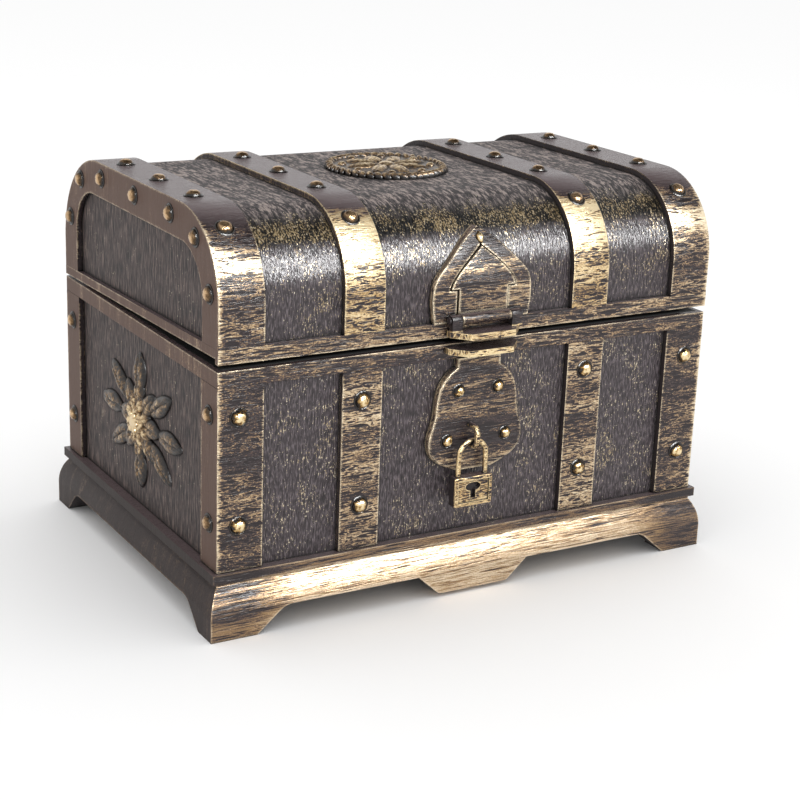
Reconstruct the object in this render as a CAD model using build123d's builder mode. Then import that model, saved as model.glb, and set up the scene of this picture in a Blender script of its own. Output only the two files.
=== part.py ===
"""Strapped treasure chest keepsake box, in millimetres.

Frame: origin at the bottom centre of the chest, -Y the lock side, +X right, +Z up.
"""
import os
from math import cos, radians, sin

from build123d import *

os.makedirs("parts", exist_ok=True)

# Chest sizes
plinth_length = 140.0
plinth_depth = 100.0
body_end_setback = 2.5
body_side_setback = 2.6
body_rim_height = 63.2
lid_height = 97.2
lid_overhang = 0.2
lid_gap = 0.55
lid_rake = 2.3
lid_front_radius_share = 0.643
lid_back_radius_share = 0.712
wall = 2.2
strap_thickness = 1.5
edge_round = 0.4
overrun = 2.0
fit_gap = 0.4
pin_clearance = 0.05

# Plinth sizes
plinth_height = 15.7
ledge_thickness = 2.3
ledge_end_reach = 1.3
ledge_side_reach = 1.0
neck_inset = 2.4
neck_drop = 0.8
flare_height = 5.5
plinth_wall = 2.8
flange_width = 12.0
arch_height = 6.2
corner_foot_width = 11.6
corner_foot_depth = 7.3
foot_ramp = 7.3
end_foot_ramp = 6.3
ramp_round = 5.0
centre_foot_half = 9.7
centre_foot_ramp = 5.8
centre_foot_lift = 1.0
centre_ramp_round = 1.5
screw_radius = 1.0
screw_head_radius = 2.1
screw_head_height = 1.3
screw_bite = 1.5
screw_hole_clearance = 0.15

# Body straps
corner_strap_width = 11.3
corner_strap_end_width = 8.9
strap_width = 10.4
strap_centre = 31.2
rail_height = 3.8
collar_wall = 1.4
collar_rise = 4.0
collar_root = 3.4

# Lid straps
lid_rail_height = 2.25
lid_rail_drop = 1.25
lid_end_frame_width = 8.7

# Rivets
rivet_radius = 2.3
rivet_height = 1.4
body_rivet_inset = 10.9
end_rivet_inset = 4.5
corner_rivet_inset = 5.2
lid_rivet_row_shares = (0.378, -0.0525, -0.473)
curve_rivet_degrees = 54.0
rivet_sink = 0.15
lid_end_side_share = 0.48
lid_end_shoulder_inset = 12.3
lid_end_shoulder_drop = 6.4
lid_end_top_drop = 3.8
lid_end_top_spacing = 21.2

# Lock and hasp
lock_plate_thickness = 2.0
lock_plate_height = 28.0
lock_plate_half_width = 13.1
lock_rivet_radius = 1.75
lock_rivet_height = 1.2
catch_proud = 5.6
catch_half_width = 9.6
catch_front_half = 6.1
catch_thickness = 1.5
catch_drop = 0.65
catch_side = 1.6
staple_wire = 0.7
staple_bend = 2.45
staple_bow = 1.8
staple_leg = 1.75
staple_rise = 8.9
staple_offset = -1.9
shackle_wire = 0.64
shackle_bend = 3.75
shackle_rise = 5.0
shackle_long_leg = 5.5
shackle_short_leg = 2.0
padlock_width = 10.6
padlock_height = 7.5
padlock_thickness = 2.9
padlock_round = 0.5
leg_clearance = 0.05
padlock_rim = 1.0
padlock_recess = 0.3
keyhole_half_width = 2.1
keyhole_half_height = 1.1
keyhole_slot_width = 1.5
keyhole_slot_length = 2.9
keyhole_depth = 1.0
arch_half_width = 13.6
arch_apex_share = 0.747
arch_proud = 0.3
leaf_half_width = 8.8
leaf_waist_half = 6.7
leaf_foot_share = 0.277
leaf_apex_share = 0.602
leaf_proud = 0.7
leaf_gap = 0.35
stud_half_width = 1.0
stud_tip = 2.3
stud_degrees = 31.7
stud_height = 0.9
stud_taper_degrees = 30.0
barrel_radius = 1.25
barrel_rise = 1.0
barrel_proud = 1.75
hasp_pin_radius = 0.55
flap_proud = 5.9
flap_lift = 2.05
flap_thickness = 1.5
flap_gap = 0.3
flap_web_inset = 1.0
knuckle_gap = 0.15
pin_lip = 0.3

# Lock plate outline, from the foot up: shares of its half width and of its height
lock_outline_shares = (
    (0.40, 0.0),
    (0.70, 0.06),
    (0.92, 0.14),
    (1.0, 0.255),
    (0.95, 0.385),
    (0.88, 0.505),
    (0.855, 0.63),
    (0.80, 0.74),
    (0.64, 0.855),
    (0.45, 0.92),
    (0.45, 1.0),
)
lock_rivet_shares = ((0.42, 0.714), (0.622, 0.279))

# Pointed outlines, from the foot to the apex: shares of the half width and of the rise
arch_outline_shares = (
    (0.95, 0.0),
    (1.0, 0.28),
    (0.92, 0.5),
    (0.75, 0.62),
    (0.44, 0.81),
    (0.0, 1.0),
)
leaf_outline_shares = (
    (1.0, 0.0),
    (0.95, 0.13),
    (0.78, 0.36),
    (0.51, 0.61),
    (0.0, 1.0),
)

# Rear hinges
hinge_reach = 3.7
hinge_knuckle_radius = 2.2
hinge_pin_radius = 0.9
hinge_leaf_thickness = 1.2
hinge_leaf_length = 11.0
hinge_centre_knuckle = 3.8
hinge_leaf_gap = 1.4
hinge_rivet_radius = 1.1
hinge_rivet_height = 0.7
hinge_rivet_pitch = 5.6
hinge_rivet_spread = 3.0
hinge_rivet_shift = 0.8
hinge_lid_lift = 1.1
arm_length = 2.4
arm_share = 0.7
pin_head_radius = 1.5
pin_head_height = 0.6

# Reliefs
emblem_height = 35.0
emblem_length = 50.0
emblem_thickness = 1.6
emblem_boss_radius = 4.2
emblem_boss_height = 3.0
emblem_boss_taper = 30.0
petal_count = 8
petal_ring = 7.0
petal_length = 10.5
petal_width = 5.25
petal_lap = 1.25
leaf_width = 5.25
leaf_fan_degrees = 30.0
side_leaf_drop = 3.5
bud_width = 7.0
medallion_radius = 16.0
medallion_thickness = 1.2
medallion_shift = 0.5
medallion_scallops = 16
medallion_boss_radius = 3.6
star_points = 8
star_half_width = 2.6
star_long_reach = 12.5
star_short_reach = 8.5
star_thickness = 0.7
medallion_stud_ring = 11.8
medallion_stud_radius = 1.5

# Sizes that follow from the ones above
body_length = plinth_length - 2 * body_end_setback
body_depth = plinth_depth - 2 * body_side_setback
ledge_length = body_length + 2 * ledge_end_reach
ledge_depth = body_depth + 2 * ledge_side_reach
lid_depth = body_depth + 2 * lid_overhang
panel_length = body_length - 2 * strap_thickness
panel_depth = body_depth - 2 * strap_thickness
half_length = body_length / 2
half_depth = body_depth / 2
lid_half = lid_depth / 2
lid_rim_back = body_rim_height + lid_gap
lid_rim_front = lid_rim_back + lid_rake
lid_front_radius = (lid_height - lid_rim_front) * lid_front_radius_share
lid_back_radius = (lid_height - lid_rim_back) * lid_back_radius_share
floor_top = plinth_height + wall
hinge_height = (body_rim_height + lid_rim_back) / 2
hinge_axis_depth = lid_half + hinge_reach
lock_face = panel_depth / 2 + lock_plate_thickness
lock_plate_bottom = body_rim_height - rail_height - lock_plate_height
staple_height = lock_plate_bottom + staple_rise
shackle_depth = lock_face + staple_leg
shackle_top = staple_height - staple_bend + staple_wire + shackle_wire + leg_clearance
shackle_centre = shackle_top - shackle_bend
padlock_top = shackle_centre - shackle_rise


def save(piece, name):
    """Label a finished piece and write its file."""
    piece.part.label = name
    export_step(piece.part, f"parts/{name}.step")


def rim_height(y):
    """Height of the lid's raked lower edge at a depth y."""
    share = (lid_half - y) / lid_depth
    return lid_rim_back + (lid_rim_front - lid_rim_back) * share


def lid_section(inset, lift, at_x):
    """Cross-section of the lid, inset from its outer face, its raked edge lifted."""
    front = inset - lid_half
    back = lid_half - inset
    top = lid_height - inset
    front_tangent = top - lid_front_radius + inset
    back_tangent = top - lid_back_radius + inset
    front_flat = front + lid_front_radius - inset
    back_flat = back - lid_back_radius + inset
    with BuildSketch(Plane.YZ.offset(at_x)) as section:
        with BuildLine():
            Polyline(
                (front, front_tangent),
                (front, rim_height(front) + lift),
                (back, rim_height(back) + lift),
                (back, back_tangent),
            )
            TangentArc((back, back_tangent), (back_flat, top), tangent=(0, 1))
            Line((back_flat, top), (front_flat, top))
            TangentArc((front_flat, top), (front, front_tangent), tangent=(-1, 0))
        make_face()
    return section.sketch


def star_ray(reach, angle):
    """Corners of one pointed ray of the medallion's star."""
    side = star_half_width
    along = (cos(angle), sin(angle))
    return (
        (-side * along[1], side * along[0] - medallion_shift),
        (reach * along[0], reach * along[1] - medallion_shift),
        (side * along[1], -side * along[0] - medallion_shift),
    )


def domes(places, radius, height):
    """Domed heads, each seated on a plane of the list."""
    with BuildPart() as head:
        with BuildSketch(Plane.XZ):
            with BuildLine():
                Polyline((radius, 0), (0, 0), (0, height))
                TangentArc((0, height), (radius, 0), tangent=(1, 0))
            make_face()
        revolve(axis=Axis.Z)
    with BuildPart() as group:
        with Locations(*[Location(place) for place in places]):
            add(head.part)
    return group


# Plinth: a flared frame with bracket feet, cut from the two crossed mouldings
def plinth_outline(length, ledge):
    """Half outline of the plinth's moulding, mirrored about the middle."""
    half = length / 2
    ledge_half = ledge / 2
    neck_half = half - neck_inset
    with BuildLine() as outline:
        Polyline((0, 0), (half, 0), (half, flare_height))
        TangentArc((half, flare_height), (neck_half, hollow_height - neck_drop), tangent=(0, 1))
        Polyline(
            (neck_half, hollow_height - neck_drop),
            (neck_half, hollow_height),
            (ledge_half, hollow_height),
            (ledge_half, plinth_height),
            (0, plinth_height),
        )
        mirror(about=Plane.YZ)
    return outline.line


hollow_height = plinth_height - ledge_thickness
foot_inner = plinth_length / 2 - corner_foot_width
end_foot_inner = plinth_depth / 2 - corner_foot_depth
front_ramps = (
    (centre_foot_half, centre_foot_lift),
    (centre_foot_half + centre_foot_ramp, arch_height),
    (foot_inner - foot_ramp, arch_height),
    (foot_inner, 0),
)
end_ramps = ((end_foot_inner - end_foot_ramp, arch_height), (end_foot_inner, 0))
screw_x = ledge_length / 2 - flange_width
screw_y = ledge_depth / 2 - flange_width
screw_places = [(x, y) for x in (-screw_x, screw_x) for y in (-screw_y, screw_y)]

with BuildPart() as plinth:
    with BuildSketch(Plane.XZ):
        with BuildLine():
            add(plinth_outline(plinth_length, ledge_length))
        make_face()
    extrude(amount=plinth_depth, both=True)
    with BuildSketch(Plane.YZ):
        with BuildLine():
            add(plinth_outline(plinth_depth, ledge_depth))
        make_face()
    extrude(amount=plinth_length, both=True, mode=Mode.INTERSECT)
    with BuildSketch():
        Rectangle(2 * foot_inner, plinth_depth - 2 * (neck_inset + plinth_wall))
        Rectangle(plinth_length - 2 * (neck_inset + plinth_wall), 2 * end_foot_inner)
    extrude(amount=hollow_height, mode=Mode.SUBTRACT)
    with BuildSketch(Plane.XZ) as front_opening:
        Polygon(*front_ramps, *[(-x, z) for x, z in reversed(front_ramps)], align=None)
        corners = front_opening.vertices().group_by(Axis.Y)[-1].sort_by(Axis.X)
        fillet([corners[0], corners[3]], ramp_round)
        corners = front_opening.vertices().sort_by_distance((0, arch_height))
        fillet([corners[0], corners[1]], centre_ramp_round)
    extrude(amount=plinth_depth, both=True, mode=Mode.SUBTRACT)
    with BuildSketch(Plane.YZ) as end_opening:
        Polygon(*end_ramps, *[(-y, z) for y, z in reversed(end_ramps)], align=None)
        fillet(end_opening.vertices().group_by(Axis.Y)[-1], ramp_round)
    extrude(amount=plinth_length, both=True, mode=Mode.SUBTRACT)
    with BuildSketch(Plane.XY.offset(hollow_height)):
        Rectangle(ledge_length - 4 * flange_width, ledge_depth - 4 * flange_width)
    extrude(amount=ledge_thickness, mode=Mode.SUBTRACT)
    with Locations(*[(x, y, plinth_height) for x, y in screw_places]):
        Hole(screw_radius + screw_hole_clearance, depth=ledge_thickness)
save(plinth, "plinth")

with BuildPart() as plinth_screws:
    with BuildSketch(Plane.XY.offset(hollow_height - screw_head_height)):
        with Locations(*screw_places):
            Circle(screw_head_radius)
    extrude(amount=screw_head_height)
    with BuildSketch(Plane.XY.offset(hollow_height)):
        with Locations(*screw_places):
            Circle(screw_radius)
    extrude(amount=ledge_thickness + screw_bite)
save(plinth_screws, "plinth_screws")

# Body shell: panelled walls, floor, and an inner collar that the lid closes over
collar_inset = wall + fit_gap
collar_inner_inset = collar_inset + collar_wall
with BuildPart() as body_shell:
    with BuildSketch(Plane.XY.offset(plinth_height)):
        Rectangle(panel_length, panel_depth)
    extrude(amount=body_rim_height - plinth_height)
    with BuildSketch(Plane.XY.offset(body_rim_height)):
        Rectangle(panel_length - 2 * collar_inset, panel_depth - 2 * collar_inset)
    extrude(amount=collar_rise)
    with BuildSketch(Plane.XY.offset(floor_top)):
        Rectangle(panel_length - 2 * wall, panel_depth - 2 * wall)
    extrude(amount=body_rim_height - collar_root - floor_top, mode=Mode.SUBTRACT)
    with BuildSketch(Plane.XY.offset(body_rim_height - collar_root)):
        Rectangle(panel_length - 2 * collar_inner_inset, panel_depth - 2 * collar_inner_inset)
    extrude(amount=collar_root + collar_rise, mode=Mode.SUBTRACT)
    with BuildSketch(Plane.XY.offset(plinth_height)):
        with Locations(*screw_places):
            Circle(screw_radius)
    extrude(amount=screw_bite, mode=Mode.SUBTRACT)
save(body_shell, "body_shell")

# Body top rail: a flat ring, flush with the straps
with BuildPart() as body_top_rail:
    with BuildSketch(Plane.XY.offset(body_rim_height - rail_height)):
        Rectangle(body_length, body_depth)
        Rectangle(panel_length, panel_depth, mode=Mode.SUBTRACT)
    extrude(amount=rail_height)
save(body_top_rail, "body_top_rail")

# Body corner straps: L-shaped, from the ledge up to the rail
strap_rise = body_rim_height - rail_height - plinth_height
for name, side_x, side_y in (
    ("body_corner_strap_front_left", -1, -1),
    ("body_corner_strap_front_right", 1, -1),
    ("body_corner_strap_back_left", -1, 1),
    ("body_corner_strap_back_right", 1, 1),
):
    centre_x = side_x * (half_length - corner_strap_width / 2)
    centre_y = side_y * (half_depth - corner_strap_end_width / 2)
    with BuildPart() as corner_strap:
        with BuildSketch(Plane.XY.offset(plinth_height)):
            with Locations((centre_x, centre_y)):
                Rectangle(corner_strap_width, corner_strap_end_width)
            Rectangle(panel_length, panel_depth, mode=Mode.SUBTRACT)
        extrude(amount=strap_rise)
    save(corner_strap, name)

# Body middle straps, two on the front and two on the back
for name, side_x, side_y in (
    ("body_front_strap_left", -1, -1),
    ("body_front_strap_right", 1, -1),
    ("body_back_strap_left", -1, 1),
    ("body_back_strap_right", 1, 1),
):
    strap_y = side_y * (half_depth - strap_thickness / 2)
    with BuildPart() as body_strap:
        with BuildSketch(Plane.XY.offset(plinth_height)):
            with Locations((side_x * strap_centre, strap_y)):
                Rectangle(strap_width, strap_thickness)
        extrude(amount=strap_rise)
    save(body_strap, name)

# Body rivets: domed heads on the straps, except where the hinge leaves lie at the back
rivet_columns = (
    corner_rivet_inset - half_length, -strap_centre, strap_centre, half_length - corner_rivet_inset
)
rivet_heights = (plinth_height + body_rivet_inset, body_rim_height - body_rivet_inset)
front_spots = [(x, z) for x in rivet_columns for z in rivet_heights]
back_spots = [(x, z) for x, z in front_spots if abs(x) > strap_centre or z == rivet_heights[0]]
for name, side_y, spots in (
    ("body_front_rivets", -1, front_spots),
    ("body_back_rivets", 1, back_spots),
):
    places = [
        Plane(origin=(x, side_y * half_depth, z), x_dir=(1, 0, 0), z_dir=(0, side_y, 0))
        for x, z in spots
    ]
    save(domes(places, rivet_radius, rivet_height), name)

end_rivet_y = half_depth - end_rivet_inset
for name, side_x in (("body_left_rivets", -1), ("body_right_rivets", 1)):
    places = [
        Plane(origin=(side_x * half_length, y, z), x_dir=(0, 1, 0), z_dir=(side_x, 0, 0))
        for y in (-end_rivet_y, end_rivet_y)
        for z in rivet_heights
    ]
    save(domes(places, rivet_radius, rivet_height), name)

# End emblems: a petalled rosette with a spray of leaves on each side
emblem_centre_height = (plinth_height + body_rim_height - rail_height) / 2
side_reach = emblem_length / 2 - side_leaf_drop
leaf_spots = [
    (root, reach, turn, way)
    for root, reach, turn in (
        (petal_ring + petal_length / 2 - petal_lap, emblem_length / 2, 0),
        (petal_ring, side_reach, leaf_fan_degrees),
        (petal_ring, side_reach, -leaf_fan_degrees),
    )
    for way in (-1, 1)
]
bud_length = emblem_height / 2 - petal_ring
bud_middle = (emblem_height - bud_length) / 2
for name, side_x in (("left_emblem", -1), ("right_emblem", 1)):
    face = side_x * panel_length / 2
    seat = Plane(origin=(face, 0, emblem_centre_height), x_dir=(0, 1, 0), z_dir=(side_x, 0, 0))
    with BuildPart() as emblem:
        with BuildSketch(seat):
            Circle(petal_width)
            with PolarLocations(petal_ring, petal_count):
                Ellipse(petal_length / 2, petal_width / 2)
            for root, reach, turn, way in leaf_spots:
                leaf_middle = (reach + root) / 2
                along = (way * cos(radians(turn)), sin(radians(turn)))
                with Locations((leaf_middle * along[0], leaf_middle * along[1])):
                    Ellipse((reach - root) / 2, leaf_width / 2, rotation=way * turn)
            with Locations((0, bud_middle), (0, -bud_middle)):
                Ellipse(bud_width / 2, bud_length / 2)
        extrude(amount=emblem_thickness)
        with BuildSketch(seat.offset(emblem_thickness)):
            Circle(emblem_boss_radius)
        extrude(amount=emblem_boss_height - emblem_thickness, taper=emblem_boss_taper)
    save(emblem, name)

# Lid shell: domed top and end walls, open below
lid_end_face = panel_length / 2
with BuildPart() as lid_shell:
    extrude(lid_section(strap_thickness, 0, -lid_end_face), amount=panel_length)
    inner_length = panel_length - 2 * wall
    inner = lid_section(strap_thickness + wall, -overrun, -inner_length / 2)
    extrude(inner, amount=inner_length, mode=Mode.SUBTRACT)
save(lid_shell, "lid_shell")

# Lid rim rail: a ring round the raked lower edge, its front run hanging a little lower
with BuildPart() as lid_rim_rail:
    with BuildSketch(Plane.YZ):
        Polygon(
            (-lid_half, rim_height(-lid_half)),
            (lid_half, rim_height(lid_half)),
            (lid_half, rim_height(lid_half) + lid_rail_height),
            (-lid_half, rim_height(-lid_half) + lid_rail_height),
            align=None,
        )
    extrude(amount=half_length, both=True)
    with BuildSketch(Plane.XY.offset(lid_rim_back)):
        Rectangle(panel_length, lid_depth - 2 * strap_thickness)
    extrude(amount=lid_rim_front + lid_rail_height - lid_rim_back, mode=Mode.SUBTRACT)
    with BuildSketch(Plane.XY.offset(lid_rim_front - lid_rail_drop)):
        with Locations((0, strap_thickness / 2 - lid_half)):
            Rectangle(body_length, strap_thickness)
    extrude(amount=lid_rail_drop + lid_rail_height)
save(lid_rim_rail, "lid_rim_rail")

# Lid end straps: a hoop over the lid's corner with a flat frame on the end face
window_bottom = lid_rim_back
window_top = lid_height - lid_end_frame_width
window_half = lid_half - lid_end_frame_width
window_radius = lid_front_radius - lid_end_frame_width
for name, side_x in (("lid_end_strap_left", -1), ("lid_end_strap_right", 1)):
    start = -half_length if side_x < 0 else half_length - corner_strap_width
    inner_start = -panel_length / 2 if side_x < 0 else start - overrun
    inner_width = corner_strap_width - strap_thickness + overrun
    with BuildPart() as end_strap:
        extrude(lid_section(0, lid_rail_height, start), amount=corner_strap_width)
        hollow = lid_section(strap_thickness, -overrun, inner_start)
        extrude(hollow, amount=inner_width, mode=Mode.SUBTRACT)
        with BuildSketch(Plane.YZ):
            with Locations((0, (window_bottom + window_top) / 2)):
                window = Rectangle(2 * window_half, window_top - window_bottom)
            fillet(window.vertices().group_by(Axis.Y)[-1], window_radius)
        extrude(amount=body_length, both=True, mode=Mode.SUBTRACT)
    save(end_strap, name)

# Lid middle hoops
for name, side_x in (("lid_hoop_left", -1), ("lid_hoop_right", 1)):
    start = side_x * strap_centre - strap_width / 2
    with BuildPart() as hoop:
        extrude(lid_section(0, lid_rail_height, start), amount=strap_width)
        hollow = lid_section(strap_thickness, -overrun, start)
        extrude(hollow, amount=strap_width, mode=Mode.SUBTRACT)
    save(hoop, name)

# Lid rivets: three on the flat of each hoop and one on each curve
front_centre = (lid_front_radius - lid_half, lid_height - lid_front_radius)
back_centre = (lid_half - lid_back_radius, lid_height - lid_back_radius)
curve_rivet_angle = radians(curve_rivet_degrees)
hoop_spots = [((share * lid_half, lid_height), (0, 1)) for share in lid_rivet_row_shares]
for centre, radius, way in ((front_centre, lid_front_radius, -1), (back_centre, lid_back_radius, 1)):
    outward = (way * cos(curve_rivet_angle), sin(curve_rivet_angle))
    seat = radius - rivet_sink
    hoop_spots.append(((centre[0] + seat * outward[0], centre[1] + seat * outward[1]), outward))
hoop_places = [
    Plane(origin=(x, spot[0], spot[1]), x_dir=(1, 0, 0), z_dir=(0, outward[0], outward[1]))
    for x in rivet_columns
    for spot, outward in hoop_spots
]
with BuildPart() as lid_hoop_rivets:
    add(domes(hoop_places, rivet_radius, rivet_height).part)
    extrude(lid_section(0, 0, -half_length), amount=body_length, mode=Mode.SUBTRACT)
save(lid_hoop_rivets, "lid_hoop_rivets")

lid_end_side_height = lid_rim_back + (lid_height - lid_rim_back) * lid_end_side_share
lid_end_shoulder_y = lid_half - lid_end_shoulder_inset
lid_end_shoulder_height = lid_height - lid_end_shoulder_drop
lid_end_top_height = lid_height - lid_end_top_drop
end_places = [
    (-end_rivet_y, lid_end_side_height),
    (end_rivet_y, lid_end_side_height),
    (-lid_end_shoulder_y, lid_end_shoulder_height),
    (lid_end_shoulder_y, lid_end_shoulder_height),
    (-lid_end_top_spacing, lid_end_top_height),
    (0, lid_end_top_height),
    (lid_end_top_spacing, lid_end_top_height),
]
for name, side_x in (("lid_left_rivets", -1), ("lid_right_rivets", 1)):
    places = [
        Plane(origin=(side_x * half_length, y, z), x_dir=(0, 1, 0), z_dir=(side_x, 0, 0))
        for y, z in end_places
    ]
    save(domes(places, rivet_radius, rivet_height), name)

# Lid medallion: a scalloped disc with an eight-point star, a boss and four studs
medallion_seat = lid_height - strap_thickness
medallion_face = medallion_seat + medallion_thickness
medallion_rim = medallion_radius - medallion_stud_radius
with BuildPart() as lid_medallion:
    with BuildSketch(Plane.XY.offset(medallion_seat)):
        with Locations((0, -medallion_shift)):
            Circle(medallion_rim)
            with PolarLocations(medallion_rim, medallion_scallops):
                Circle(medallion_stud_radius)
    extrude(amount=medallion_thickness)
    with BuildSketch(Plane.XY.offset(medallion_face)):
        for turn in range(star_points):
            reach = star_long_reach if turn % 2 == 0 else star_short_reach
            Polygon(*star_ray(reach, radians(turn * 360 / star_points)), align=None)
        with Locations((0, -medallion_shift)):
            Circle(medallion_boss_radius)
            with PolarLocations(medallion_stud_ring, star_points // 2, start_angle=180 / star_points):
                Circle(medallion_stud_radius)
    extrude(amount=star_thickness)
save(lid_medallion, "lid_medallion")

# Arch plate on the lid's front: a pointed frame that follows the lid's curve
rail_top = rim_height(-lid_half) + lid_rail_height
front_rise = lid_height - rail_top
arch_apex = rail_top + front_rise * arch_apex_share
leaf_foot = rail_top + front_rise * leaf_foot_share
leaf_apex = rail_top + front_rise * leaf_apex_share


def pointed_face(half_width, foot, apex, shares):
    """Face of a pointed plate, seen from the front, symmetrical about its middle."""
    points = [(x * half_width, foot + z * (apex - foot)) for x, z in shares]
    with BuildSketch(Plane.XZ) as face:
        with BuildLine():
            Line((0, foot), points[0])
            Spline(*points)
            mirror(about=Plane.YZ)
        make_face()
    return face.sketch


def leaf_face(margin):
    """Face of the hasp leaf: a pointed head on a narrower waist, grown by a margin."""
    foot = leaf_foot - margin
    head = pointed_face(leaf_half_width + margin, foot, leaf_apex + margin, leaf_outline_shares)
    with BuildSketch(Plane.XZ) as waist:
        with Locations((0, (foot + rail_top) / 2)):
            Rectangle(2 * (leaf_waist_half + margin), foot - rail_top)
    return head + waist.sketch


def front_layer(outer_inset, inner_inset, half_width):
    """The lid's skin between two insets, across the lock's width, front half only."""
    with BuildPart() as layer:
        extrude(lid_section(outer_inset, -overrun, -half_width), amount=2 * half_width)
        inner = lid_section(inner_inset, -2 * overrun, -half_width)
        extrude(inner, amount=2 * half_width, mode=Mode.SUBTRACT)
        split(bisect_by=Plane.XZ, keep=Keep.TOP)
    return layer.part


arch_outline = pointed_face(arch_half_width, rail_top, arch_apex, arch_outline_shares)
with BuildPart() as arch_plate:
    add(front_layer(-arch_proud, strap_thickness, arch_half_width))
    extrude(arch_outline, amount=lid_half + overrun, mode=Mode.INTERSECT)
    extrude(leaf_face(leaf_gap), amount=lid_half + overrun, mode=Mode.SUBTRACT)
save(arch_plate, "arch_plate")

# Hasp leaf: the pointed inner plate, with the barrel's middle knuckle at its foot
barrel_depth = lid_half + barrel_proud
barrel_height = rail_top + barrel_rise
with BuildPart() as hasp_leaf:
    add(front_layer(-leaf_proud, strap_thickness, leaf_half_width))
    extrude(leaf_face(0), amount=lid_half + overrun, mode=Mode.INTERSECT)
    with BuildSketch(Plane.YZ.offset(-leaf_waist_half)):
        with Locations((-barrel_depth, barrel_height)):
            Circle(barrel_radius)
        with BuildLine():
            Polyline(
                (-barrel_depth, barrel_height + barrel_radius),
                (-lid_half, barrel_height + barrel_radius),
                (-lid_half, barrel_height - barrel_radius / 2),
                (-barrel_depth, barrel_height - barrel_radius / 2),
                close=True,
            )
        make_face()
        with Locations((-barrel_depth, barrel_height)):
            Circle(hasp_pin_radius + pin_clearance, mode=Mode.SUBTRACT)
    extrude(amount=2 * leaf_waist_half)
save(hasp_leaf, "hasp_leaf")

# Hasp pin, with a small head on each end
with BuildPart() as hasp_pin:
    with BuildSketch(Plane.YZ.offset(-catch_half_width)):
        with Locations((-barrel_depth, barrel_height)):
            Circle(hasp_pin_radius)
    extrude(amount=2 * catch_half_width)
    for side in (-1, 1):
        with BuildSketch(Plane.YZ.offset(side * (catch_half_width + knuckle_gap))):
            with Locations((-barrel_depth, barrel_height)):
                Circle(hasp_pin_radius + pin_lip)
        extrude(amount=side * pin_lip)
        with BuildSketch(Plane.YZ.offset(side * catch_half_width)):
            with Locations((-barrel_depth, barrel_height)):
                Circle(hasp_pin_radius)
        extrude(amount=side * knuckle_gap)
save(hasp_pin, "hasp_pin")


def tray(back, reach):
    """Plan of a lip: full width at the back, corners cut off at the front."""
    return (
        (-catch_half_width, -back),
        (catch_half_width, -back),
        (catch_half_width, -back - catch_side),
        (catch_front_half, -reach),
        (-catch_front_half, -reach),
        (-catch_half_width, -back - catch_side),
    )


# Hasp flap: a lip hung on the barrel's two outer knuckles
knuckle_start = leaf_waist_half + knuckle_gap
flap_back = lid_half + flap_gap
flap_low = body_rim_height + flap_lift
with BuildPart() as hasp_flap:
    with BuildSketch(Plane.XY.offset(flap_low)):
        Polygon(*tray(flap_back, lid_half + flap_proud), align=None)
    extrude(amount=flap_thickness)
    for start in (-catch_half_width, knuckle_start):
        with BuildSketch(Plane.YZ.offset(start)):
            with Locations((-barrel_depth, barrel_height)):
                Circle(barrel_radius)
            with BuildLine():
                Polyline(
                    (-barrel_depth - barrel_radius, barrel_height),
                    (-barrel_depth, barrel_height),
                    (-flap_back - flap_web_inset, flap_low + flap_thickness),
                    (-barrel_depth - barrel_radius, flap_low + flap_thickness),
                    close=True,
                )
            make_face()
            with Locations((-barrel_depth, barrel_height)):
                Circle(hasp_pin_radius + pin_clearance, mode=Mode.SUBTRACT)
        extrude(amount=catch_half_width - knuckle_start)
save(hasp_flap, "hasp_flap")

# Catch lip: the matching lip on the box's rail
with BuildPart() as catch_lip:
    with BuildSketch(Plane.XY.offset(body_rim_height - catch_drop - catch_thickness)):
        Polygon(*tray(half_depth, half_depth + catch_proud), align=None)
    extrude(amount=catch_thickness)
save(catch_lip, "catch_lip")

# Arch stud: a teardrop head at the arch's point, its tip on the leaf's apex
stud_angle = radians(stud_degrees)
stud_seat = lid_front_radius + arch_proud - rivet_sink
stud_point = (
    0,
    front_centre[0] - stud_seat * cos(stud_angle),
    front_centre[1] + stud_seat * sin(stud_angle),
)
stud_place = Plane(origin=stud_point, x_dir=(1, 0, 0), z_dir=(0, -cos(stud_angle), sin(stud_angle)))
stud_touch = stud_half_width ** 2 / stud_tip
with BuildPart() as arch_stud:
    with BuildSketch(stud_place):
        Circle(stud_half_width)
        touch_x = (stud_half_width ** 2 - stud_touch ** 2) ** (1 / 2)
        Polygon((-touch_x, -stud_touch), (0, -stud_tip), (touch_x, -stud_touch), align=None)
    extrude(amount=stud_height, taper=stud_taper_degrees)
    extrude(lid_section(-arch_proud, 0, -stud_half_width), amount=2 * stud_half_width, mode=Mode.SUBTRACT)
save(arch_stud, "arch_stud")

# Lock plate: a bell-shaped plate on the front panel, its neck under the catch lip
lock_seat = Plane.XZ.offset(panel_depth / 2)
lock_points = [
    (x * lock_plate_half_width, lock_plate_bottom + z * lock_plate_height)
    for x, z in lock_outline_shares
]
with BuildPart() as lock_plate:
    with BuildSketch(lock_seat):
        with BuildLine():
            Line((0, lock_points[0][1]), lock_points[0])
            Spline(*lock_points[:-1])
            Polyline(lock_points[-2], lock_points[-1], (0, lock_points[-1][1]))
            mirror(about=Plane.YZ)
        make_face()
    extrude(amount=lock_plate_thickness)
    fillet(lock_plate.faces().sort_by(Axis.Y)[0].edges().sort_by(SortBy.LENGTH)[-2:], edge_round)
save(lock_plate, "lock_plate")

lock_rivet_places = [
    Plane(
        origin=(side * x * lock_plate_half_width, -lock_face, lock_plate_bottom + z * lock_plate_height),
        x_dir=(1, 0, 0),
        z_dir=(0, -1, 0),
    )
    for x, z in lock_rivet_shares
    for side in (-1, 1)
]
save(domes(lock_rivet_places, lock_rivet_radius, lock_rivet_height), "lock_plate_rivets")

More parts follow.
